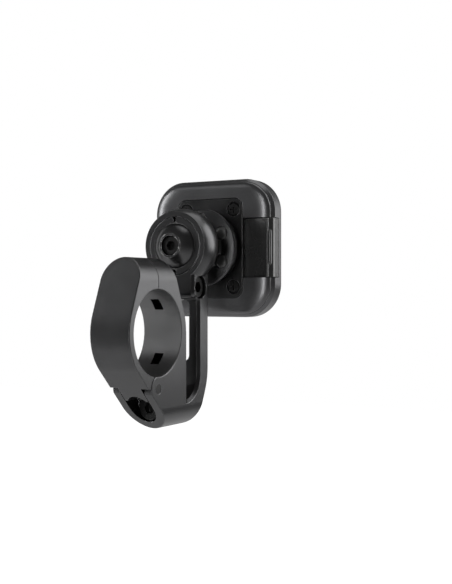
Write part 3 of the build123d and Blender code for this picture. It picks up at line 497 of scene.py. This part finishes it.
ring_tree.links.new(given.outputs["Geometry"], copies.inputs["Instance"])
end_tree(ring_tree, given, result, copies.outputs["Instances"])
plugs = grown(
    "elastomer_plugs", turned_mesh("plug", plug_profile, PLUG_STEPS), ring_tree,
    {"Count": PLUG_COUNT, "Pitch Radius": PLUG_PITCH_RADIUS, "First Angle": math.radians(30),
     "Height": HEAD_Z, "Material": elastomer},
)
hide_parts("isolator_plugs")
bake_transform(plugs)

# ---- Return springs -----------------------------------------------------------------------
# Two steel compression springs behind each release tab, wound from 0.4 mm wire. They stand
# between the acetal spring block and the latch, and shorten as the tab is pressed.
dress(acetal, "spring_block")
spring_tree, given, result = new_tree(
    "pair_of_springs",
    [("Turns", "NodeSocketFloat"), ("Coil Radius", "NodeSocketFloat"),
     ("Wire Radius", "NodeSocketFloat"), ("Length", "NodeSocketFloat"),
     ("Start", "NodeSocketVector"), ("Apart", "NodeSocketVector"), ("Direction", "NodeSocketVector")],
)
helix = spring_tree.nodes.new("GeometryNodeCurveSpiral")
helix.inputs["Resolution"].default_value = 20
wire = spring_tree.nodes.new("GeometryNodeCurvePrimitiveCircle")
wire.inputs["Resolution"].default_value = 10
tube = spring_tree.nodes.new("GeometryNodeCurveToMesh")
tube.inputs["Fill Caps"].default_value = True
for label, sockets in (
    ("Turns", [helix.inputs["Rotations"]]),
    ("Coil Radius", [helix.inputs["Start Radius"], helix.inputs["End Radius"]]),
    ("Length", [helix.inputs["Height"]]),
    ("Wire Radius", [wire.inputs["Radius"]]),
):
    for socket in sockets:
        spring_tree.links.new(given.outputs[label], socket)
spring_tree.links.new(helix.outputs["Curve"], tube.inputs["Curve"])
spring_tree.links.new(wire.outputs["Curve"], tube.inputs["Profile Curve"])
lay = spring_tree.nodes.new("GeometryNodeTransform")
spring_tree.links.new(tube.outputs["Mesh"], lay.inputs["Geometry"])
spring_tree.links.new(given.outputs["Direction"], lay.inputs["Rotation"])
seats = spring_tree.nodes.new("GeometryNodeMeshLine")
seats.inputs["Count"].default_value = 2
spring_tree.links.new(given.outputs["Start"], seats.inputs["Start Location"])
spring_tree.links.new(given.outputs["Apart"], seats.inputs["Offset"])
pair = spring_tree.nodes.new("GeometryNodeInstanceOnPoints")
spring_tree.links.new(seats.outputs["Mesh"], pair.inputs["Points"])
spring_tree.links.new(lay.outputs["Geometry"], pair.inputs["Instance"])
end_tree(spring_tree, given, result, pair.outputs["Instances"])
WIRE_RADIUS = 0.0002
SPRING_RADIUS = 0.0015
SPRING_TURNS = 7.0
SPRING_SPACING = 0.010
for side, sign in (("right", 1), ("left", -1)):
    low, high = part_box(f"tab_springs_{side}")
    seat_x = low.x if sign > 0 else high.x
    springs = grown(
        f"return_springs_{side}", bpy.data.meshes.new(f"spring_{side}"), spring_tree,
        {"Turns": SPRING_TURNS, "Coil Radius": SPRING_RADIUS - WIRE_RADIUS,
         "Wire Radius": WIRE_RADIUS, "Length": high.x - low.x - 2 * WIRE_RADIUS,
         "Start": (seat_x + sign * WIRE_RADIUS, (low.y + high.y) / 2, HEAD_Z - SPRING_SPACING / 2),
         "Apart": (0, 0, SPRING_SPACING), "Direction": (0, sign * math.radians(90), 0),
         "Material": bare_steel},
    )
    for face in springs.data.polygons:
        face.use_smooth = True
    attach(springs, "head")
    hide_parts(f"tab_springs_{side}")
    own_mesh(springs)

# ---- Phone head ---------------------------------------------------------------------------
# Two moulded shells, a blasted aluminium back plate, and a release tab on each side with its
# steel latch. The shells have a fine satin skin and the tabs a glossier one. In front are the
# platform over eight magnets and the soft pad that the phone rests on.
blasted_plate = finish_material(
    "blasted_plate", (0.013, 0.013, 0.0135), (0.023, 0.023, 0.0235), (0.12, 0.12, 0.12),
    roughness=0.33, metallic=0.9, bump=0.2, grain=6000.0,
)
dress(blasted_plate, "back_plate")
moulded_shell = finish_material(
    "moulded_shell", (0.055, 0.055, 0.057), (0.063, 0.063, 0.065), (0.12, 0.12, 0.12),
    roughness=0.29, metallic=0.75, bump=0.03,
)
dress(moulded_shell, "rear_housing", "front_housing", "phone_platform")
gloss_tab = finish_material(
    "gloss_tab", (0.013, 0.013, 0.013), (0.017, 0.017, 0.017), (0.05, 0.05, 0.05),
    roughness=0.2, metallic=0.0, bump=0.02, spread=0.05,
)
dress(gloss_tab, "release_tab_left", "release_tab_right")
dress(bare_steel, "latch_left", "latch_right", "platform_magnets")
dress(black_oxide, "back_plate_screws", "platform_screws", "latch_screws_left", "latch_screws_right")
dress(elastomer, "face_pad")
